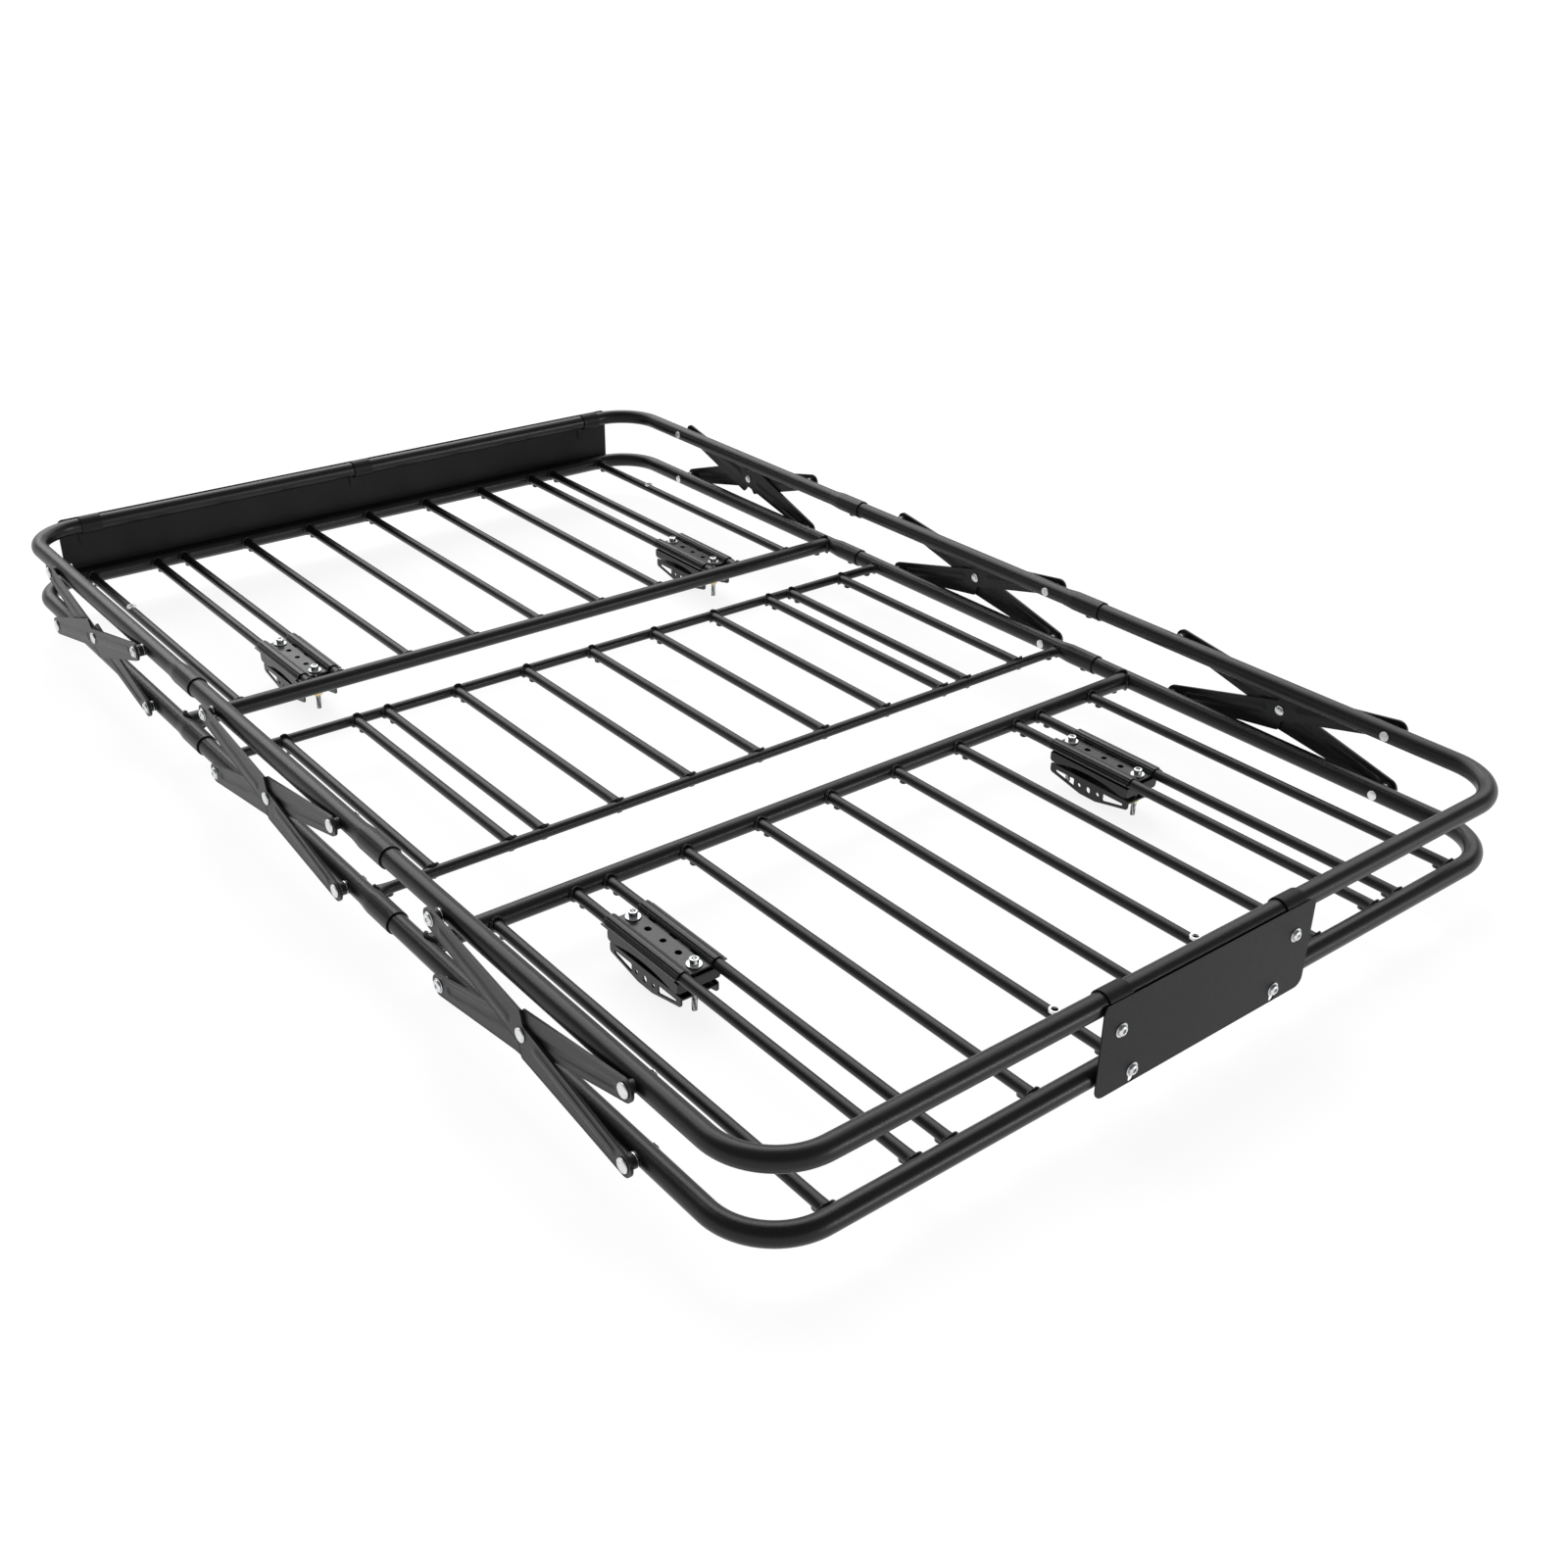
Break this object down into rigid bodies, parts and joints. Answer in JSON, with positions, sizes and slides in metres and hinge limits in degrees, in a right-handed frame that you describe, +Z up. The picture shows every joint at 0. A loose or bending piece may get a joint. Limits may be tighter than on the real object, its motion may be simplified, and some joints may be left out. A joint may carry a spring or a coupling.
{
  "type": "roof cargo basket",
  "caption": "Slatted steel roof basket with a guard rail on scissor braces, a front fairing and a rear plate, clamped to a vehicle's roof bars.",
  "frame": {"origin": "centre of the footprint, on the plane of the clamp bolt ends", "axes": "+X to the right, +Y to the front, where the fairing is, +Z up"},
  "size_m": [1.0292, 1.641, 0.1354],
  "materials": {
    "rail_black": "satin black powder coat, fine texture",
    "leg_black": "satin black powder coat on pressed sheet",
    "panel_black": "smooth satin black powder coat",
    "clamp_black": "semi-gloss black coated sheet steel",
    "zinc_hardware": "bright zinc plated steel",
    "yellow_zinc": "yellow zinc plated steel"
  },
  "bodies": {
    "floor_frame": {"front_floor_rail": "rail_black", "mid_floor_rails": "rail_black", "rear_floor_rail": "rail_black", "front_crossbar": "rail_black", "thin_crossbars": "rail_black", "rear_crossbar": "rail_black", "front_slats": "rail_black", "mid_slats": "rail_black", "rear_slats": "rail_black", "floor_joint_screws": "rail_black", "floor_bosses": "rail_black", "floor_rivets": "zinc_hardware", "slat_rivet_nuts": "zinc_hardware", "drain_plugs": "rail_black", "panel_rivet_nuts": "zinc_hardware"},
    "guard_rail": {"front_top_rail": "rail_black", "mid_top_rails": "rail_black", "rear_top_rail": "rail_black", "top_joint_screws": "rail_black", "top_bosses": "rail_black", "top_rivets": "zinc_hardware", "fairing": "panel_black", "fairing_clips": "rail_black", "rear_plate": "panel_black", "plate_clips": "rail_black", "panel_bolts": "zinc_hardware"},
    "front_outer_brace": {"front_outer_legs": "leg_black", "front_outer_bolts": "zinc_hardware"},
    "front_inner_brace": {"front_inner_legs": "leg_black", "front_inner_bolts": "zinc_hardware"},
    "mid_outer_brace": {"mid_outer_legs": "leg_black", "mid_outer_bolts": "zinc_hardware"},
    "mid_inner_brace": {"mid_inner_legs": "leg_black", "mid_inner_bolts": "zinc_hardware"},
    "rear_outer_brace": {"rear_outer_legs": "leg_black", "rear_outer_bolts": "zinc_hardware"},
    "rear_inner_brace": {"rear_inner_legs": "leg_black", "rear_inner_bolts": "zinc_hardware"},
    "fl_clamp": {"fl_saddle": "clamp_black", "fl_upper_jaw": "clamp_black", "fl_bolts": "zinc_hardware"},
    "fl_clamp_jaw": {"fl_lower_jaw": "clamp_black", "fl_nuts": "yellow_zinc"},
    "fr_clamp": {"fr_saddle": "clamp_black", "fr_upper_jaw": "clamp_black", "fr_bolts": "zinc_hardware"},
    "fr_clamp_jaw": {"fr_lower_jaw": "clamp_black", "fr_nuts": "yellow_zinc"},
    "rl_clamp": {"rl_saddle": "clamp_black", "rl_upper_jaw": "clamp_black", "rl_bolts": "zinc_hardware"},
    "rl_clamp_jaw": {"rl_lower_jaw": "clamp_black", "rl_nuts": "yellow_zinc"},
    "rr_clamp": {"rr_saddle": "clamp_black", "rr_upper_jaw": "clamp_black", "rr_bolts": "zinc_hardware"},
    "rr_clamp_jaw": {"rr_lower_jaw": "clamp_black", "rr_nuts": "yellow_zinc"}
  },
  "joints": [
    {"name": "guard_fold", "type": "slide", "parent": "floor_frame", "child": "guard_rail", "axis": [0, 0, 1], "range_m": [-0.042, 0]},
    {"name": "front_outer_hinge", "type": "hinge", "parent": "floor_frame", "child": "front_outer_brace", "pos_m": [0, 0.656, 0.05], "axis": [1, 0, 0], "range_deg": [0, 8.2]},
    {"name": "front_inner_hinge", "type": "hinge", "parent": "guard_rail", "child": "front_inner_brace", "pos_m": [0, 0.656, 0.123], "axis": [1, 0, 0], "range_deg": [-8.2, 0]},
    {"name": "mid_outer_hinge", "type": "hinge", "parent": "floor_frame", "child": "mid_outer_brace", "pos_m": [0, -0.151, 0.05], "axis": [1, 0, 0], "range_deg": [-8.2, 0]},
    {"name": "mid_inner_hinge", "type": "hinge", "parent": "guard_rail", "child": "mid_inner_brace", "pos_m": [0, -0.151, 0.123], "axis": [1, 0, 0], "range_deg": [0, 8.2]},
    {"name": "rear_outer_hinge", "type": "hinge", "parent": "floor_frame", "child": "rear_outer_brace", "pos_m": [0, -0.656, 0.05], "axis": [1, 0, 0], "range_deg": [-8.2, 0]},
    {"name": "rear_inner_hinge", "type": "hinge", "parent": "guard_rail", "child": "rear_inner_brace", "pos_m": [0, -0.656, 0.123], "axis": [1, 0, 0], "range_deg": [0, 8.2]},
    {"name": "fl_clamp_slide", "type": "slide", "parent": "floor_frame", "child": "fl_clamp", "axis": [0, 1, 0], "range_m": [0, 0.32]},
    {"name": "fl_jaw_slide", "type": "slide", "parent": "fl_clamp", "child": "fl_clamp_jaw", "axis": [0, 0, 1], "range_m": [-0.018, 0]},
    {"name": "fr_clamp_slide", "type": "slide", "parent": "floor_frame", "child": "fr_clamp", "axis": [0, 1, 0], "range_m": [0, 0.32]},
    {"name": "fr_jaw_slide", "type": "slide", "parent": "fr_clamp", "child": "fr_clamp_jaw", "axis": [0, 0, 1], "range_m": [-0.018, 0]},
    {"name": "rl_clamp_slide", "type": "slide", "parent": "floor_frame", "child": "rl_clamp", "axis": [0, 1, 0], "range_m": [-0.28, 0.035]},
    {"name": "rl_jaw_slide", "type": "slide", "parent": "rl_clamp", "child": "rl_clamp_jaw", "axis": [0, 0, 1], "range_m": [-0.018, 0]},
    {"name": "rr_clamp_slide", "type": "slide", "parent": "floor_frame", "child": "rr_clamp", "axis": [0, 1, 0], "range_m": [-0.28, 0.035]},
    {"name": "rr_jaw_slide", "type": "slide", "parent": "rr_clamp", "child": "rr_clamp_jaw", "axis": [0, 0, 1], "range_m": [-0.018, 0]}
  ],
  "couplings": [
    {"joint": "front_outer_hinge", "follows": "guard_fold", "rad_per_m": -3.2674},
    {"joint": "front_inner_hinge", "follows": "guard_fold", "rad_per_m": 3.2674},
    {"joint": "mid_outer_hinge", "follows": "guard_fold", "rad_per_m": 3.2674},
    {"joint": "mid_inner_hinge", "follows": "guard_fold", "rad_per_m": -3.2674},
    {"joint": "rear_outer_hinge", "follows": "guard_fold", "rad_per_m": 3.2674},
    {"joint": "rear_inner_hinge", "follows": "guard_fold", "rad_per_m": -3.2674}
  ]
}
